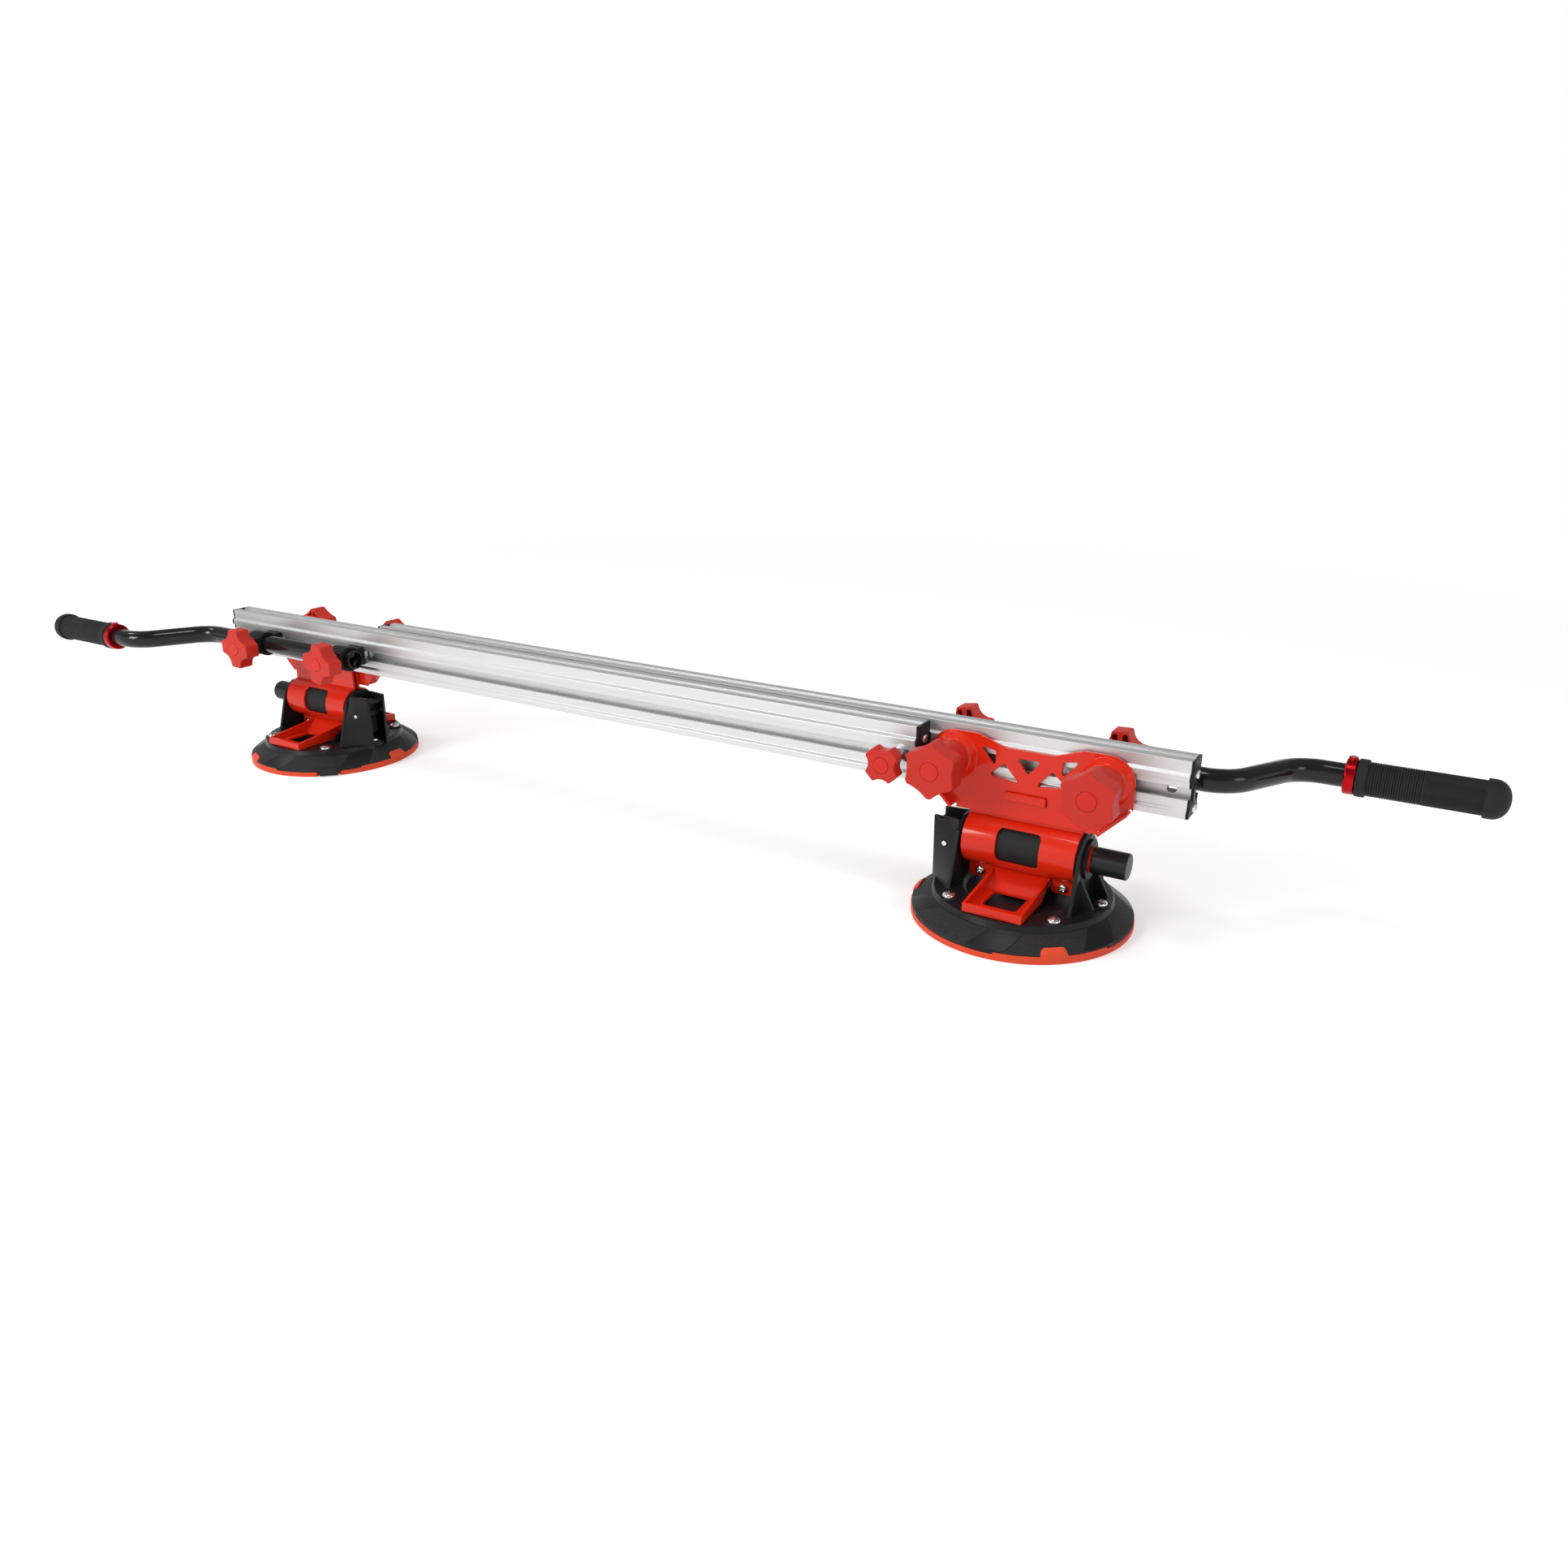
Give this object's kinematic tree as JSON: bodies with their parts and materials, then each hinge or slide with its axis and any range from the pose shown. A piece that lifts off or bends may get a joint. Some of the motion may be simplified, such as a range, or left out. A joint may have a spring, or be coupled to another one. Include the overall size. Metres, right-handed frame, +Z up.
{
  "type": "large tile carrying frame",
  "caption": "Telescoping aluminium carrying frame with offset side handles, clamp knobs and pump suction cups for lifting large tiles.",
  "frame": {"origin": "on the floor, midway between the two suction cups", "axes": "+X along the rails to the half on the rear rail, +Y to that rail's side, +Z up from the cups"},
  "size_m": [1.72, 0.289, 0.179],
  "materials": {
    "aluminium": "satin anodised extrusion",
    "red_coat": "glossy powder coat on steel sheet",
    "red_plastic": "moulded, fine matt texture",
    "black_plastic": "moulded, satin",
    "red_rubber": "soft moulded rubber",
    "black_rubber": "matt moulded rubber",
    "zinc": "bright zinc plate",
    "black_coat": "gloss black powder coat on steel tube",
    "red_anodised": "red anodised",
    "spring_steel": "plain wire"
  },
  "bodies": {
    "right_frame": {"right_rail": "aluminium", "right_rail_end_plates": "black_plastic", "right_end_plate_screws": "zinc", "right_lock_bolt": "zinc", "right_lock_sleeve": "zinc"},
    "right_bracket": {"right_bracket_plate": "red_coat", "right_bracket_bolts": "zinc", "right_clamp_front": "red_coat", "right_clamp_rear": "red_coat", "right_clamp_screws": "zinc", "right_cup_pad": "red_rubber", "right_cup_base": "black_plastic", "right_base_screws": "zinc", "right_pump_barrel": "black_plastic", "right_barrel_sleeve": "black_rubber", "right_plunger_spring": "spring_steel", "right_lever_pin": "zinc"},
    "right_handle": {"right_handle_tube": "black_coat", "right_handle_saddles": "black_plastic", "right_handle_bolts": "zinc", "right_handle_grip": "black_rubber", "right_grip_lock_ring": "red_anodised", "right_grip_end_cap": "black_rubber"},
    "right_lock_knob": {"right_lock_knob": "red_plastic"},
    "right_bracket_knob_inner": {"right_bracket_knob_inner": "red_plastic"},
    "right_bracket_knob_outer": {"right_bracket_knob_outer": "red_plastic"},
    "right_handle_knob_inner": {"right_handle_knob_inner": "red_plastic"},
    "right_handle_knob_outer": {"right_handle_knob_outer": "red_plastic"},
    "right_plunger": {"right_plunger": "black_plastic"},
    "right_lever": {"right_release_lever": "black_plastic"},
    "left_frame": {"left_rail": "aluminium", "left_rail_end_plates": "black_plastic", "left_end_plate_screws": "zinc", "left_lock_bolt": "zinc", "left_lock_sleeve": "zinc"},
    "left_bracket": {"left_bracket_plate": "red_coat", "left_bracket_bolts": "zinc", "left_clamp_front": "red_coat", "left_clamp_rear": "red_coat", "left_clamp_screws": "zinc", "left_cup_pad": "red_rubber", "left_cup_base": "black_plastic", "left_base_screws": "zinc", "left_pump_barrel": "black_plastic", "left_barrel_sleeve": "black_rubber", "left_plunger_spring": "spring_steel", "left_lever_pin": "zinc"},
    "left_handle": {"left_handle_tube": "black_coat", "left_handle_saddles": "black_plastic", "left_handle_bolts": "zinc", "left_handle_grip": "black_rubber", "left_grip_lock_ring": "red_anodised", "left_grip_end_cap": "black_rubber"},
    "left_lock_knob": {"left_lock_knob": "red_plastic"},
    "left_bracket_knob_inner": {"left_bracket_knob_inner": "red_plastic"},
    "left_bracket_knob_outer": {"left_bracket_knob_outer": "red_plastic"},
    "left_handle_knob_inner": {"left_handle_knob_inner": "red_plastic"},
    "left_handle_knob_outer": {"left_handle_knob_outer": "red_plastic"},
    "left_plunger": {"left_plunger": "black_plastic"},
    "left_lever": {"left_release_lever": "black_plastic"}
  },
  "joints": [
    {"name": "length_slide", "type": "slide", "parent": "left_frame", "child": "right_frame", "axis": [1, 0, 0], "range_m": [0, 0.6]},
    {"name": "right_bracket_slide", "type": "slide", "parent": "right_frame", "child": "right_bracket", "axis": [1, 0, 0], "range_m": [0, 0.04]},
    {"name": "right_handle_slide", "type": "slide", "parent": "right_frame", "child": "right_handle", "axis": [1, 0, 0], "range_m": [-0.2, 0.06]},
    {"name": "right_lock_knob_turn", "type": "hinge", "parent": "right_frame", "child": "right_lock_knob", "pos_m": [-0.36122, 0.048, 0.149], "axis": [0, 1, 0], "continuous": true},
    {"name": "right_bracket_knob_inner_turn", "type": "hinge", "parent": "right_bracket", "child": "right_bracket_knob_inner", "pos_m": [0.4065, -0.03, 0.149], "axis": [0, 1, 0], "continuous": true},
    {"name": "right_bracket_knob_outer_turn", "type": "hinge", "parent": "right_bracket", "child": "right_bracket_knob_outer", "pos_m": [0.5525, -0.03, 0.149], "axis": [0, 1, 0], "continuous": true},
    {"name": "right_handle_knob_inner_turn", "type": "hinge", "parent": "right_handle", "child": "right_handle_knob_inner", "pos_m": [0.385, 0.08, 0.149], "axis": [0, 1, 0], "continuous": true},
    {"name": "right_handle_knob_outer_turn", "type": "hinge", "parent": "right_handle", "child": "right_handle_knob_outer", "pos_m": [0.54, 0.08, 0.149], "axis": [0, 1, 0], "continuous": true},
    {"name": "right_plunger_push", "type": "slide", "parent": "right_bracket", "child": "right_plunger", "axis": [-1, 0, 0], "range_m": [0, 0.022], "stiffness_N_per_m": 400, "springref_m": -0.02, "deforming": ["right_plunger_spring"]},
    {"name": "right_lever_press", "type": "hinge", "parent": "right_bracket", "child": "right_lever", "pos_m": [0.4065, 0.005, 0.064], "axis": [0, 1, 0], "range_deg": [0, 12], "stiffness_Nm_per_rad": 0.6, "springref_deg": -8.59},
    {"name": "left_bracket_slide", "type": "slide", "parent": "left_frame", "child": "left_bracket", "axis": [-1, 0, 0], "range_m": [0, 0.04]},
    {"name": "left_handle_slide", "type": "slide", "parent": "left_frame", "child": "left_handle", "axis": [-1, 0, 0], "range_m": [-0.2, 0.06]},
    {"name": "left_lock_knob_turn", "type": "hinge", "parent": "left_frame", "child": "left_lock_knob", "pos_m": [0.36122, -0.048, 0.149], "axis": [0, -1, 0], "continuous": true},
    {"name": "left_bracket_knob_inner_turn", "type": "hinge", "parent": "left_bracket", "child": "left_bracket_knob_inner", "pos_m": [-0.4065, 0.03, 0.149], "axis": [0, -1, 0], "continuous": true},
    {"name": "left_bracket_knob_outer_turn", "type": "hinge", "parent": "left_bracket", "child": "left_bracket_knob_outer", "pos_m": [-0.5525, 0.03, 0.149], "axis": [0, -1, 0], "continuous": true},
    {"name": "left_handle_knob_inner_turn", "type": "hinge", "parent": "left_handle", "child": "left_handle_knob_inner", "pos_m": [-0.385, -0.08, 0.149], "axis": [0, -1, 0], "continuous": true},
    {"name": "left_handle_knob_outer_turn", "type": "hinge", "parent": "left_handle", "child": "left_handle_knob_outer", "pos_m": [-0.54, -0.08, 0.149], "axis": [0, -1, 0], "continuous": true},
    {"name": "left_plunger_push", "type": "slide", "parent": "left_bracket", "child": "left_plunger", "axis": [1, 0, 0], "range_m": [0, 0.022], "stiffness_N_per_m": 400, "springref_m": -0.02, "deforming": ["left_plunger_spring"]},
    {"name": "left_lever_press", "type": "hinge", "parent": "left_bracket", "child": "left_lever", "pos_m": [-0.4065, -0.005, 0.064], "axis": [0, -1, 0], "range_deg": [0, 12], "stiffness_Nm_per_rad": 0.6, "springref_deg": -8.59}
  ]
}
